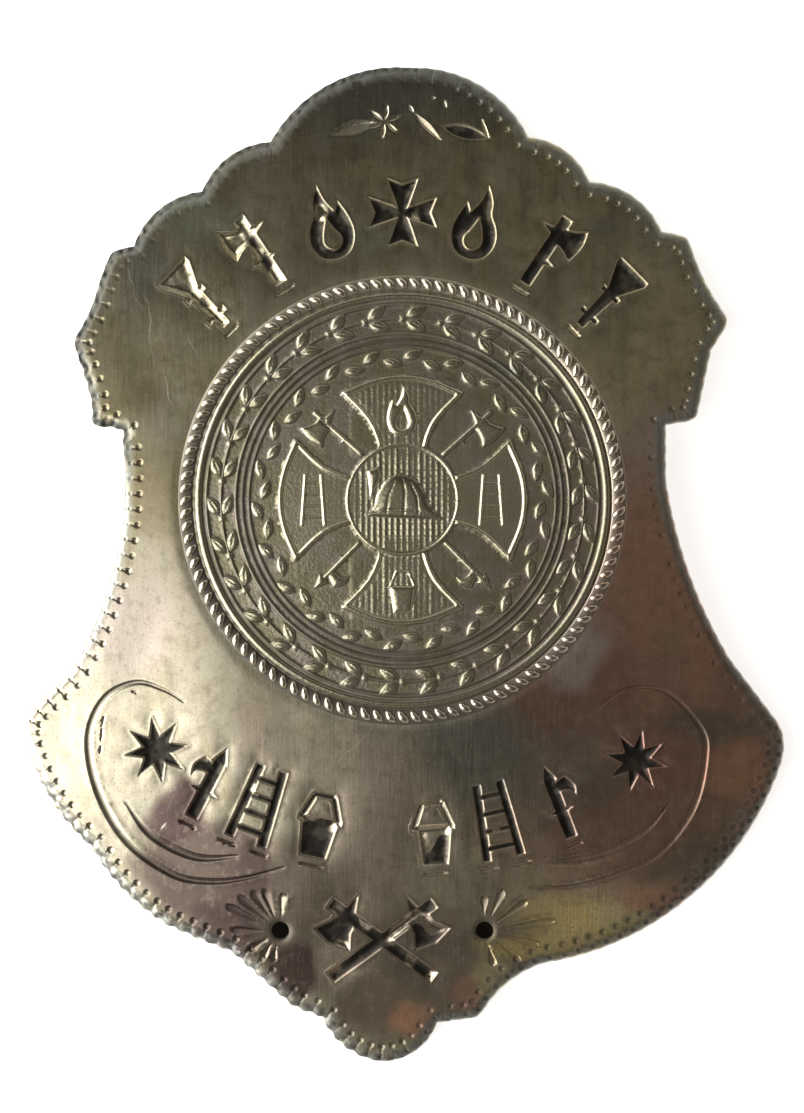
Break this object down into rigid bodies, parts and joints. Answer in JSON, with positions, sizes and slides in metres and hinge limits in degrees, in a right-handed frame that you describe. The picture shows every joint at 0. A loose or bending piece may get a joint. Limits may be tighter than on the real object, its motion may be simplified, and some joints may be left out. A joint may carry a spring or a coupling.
{
  "type": "firefighter badge",
  "caption": "Slightly domed nickel silver shield badge with a scalloped top, a struck round seal, punched marks, engraved scrolls and a pin on its back.",
  "frame": {"origin": "centre of the bounding box's base: the badge lies face up with its back's lowest points on the surface", "axes": "+X towards the wearer's left as seen from the front, which is right in a front view; +Y towards the top of the badge; +Z out of its front"},
  "size_m": [0.0486, 0.0636, 0.0042],
  "materials": {
    "nickel_silver": "worn polish with brown and olive tarnish, fine scratches and dark dirt in the recesses",
    "pin_metal": "dull satin with tarnish"
  },
  "bodies": {
    "root": {"badge_plate": "nickel_silver", "pin_back": "pin_metal"}
  },
  "joints": []
}
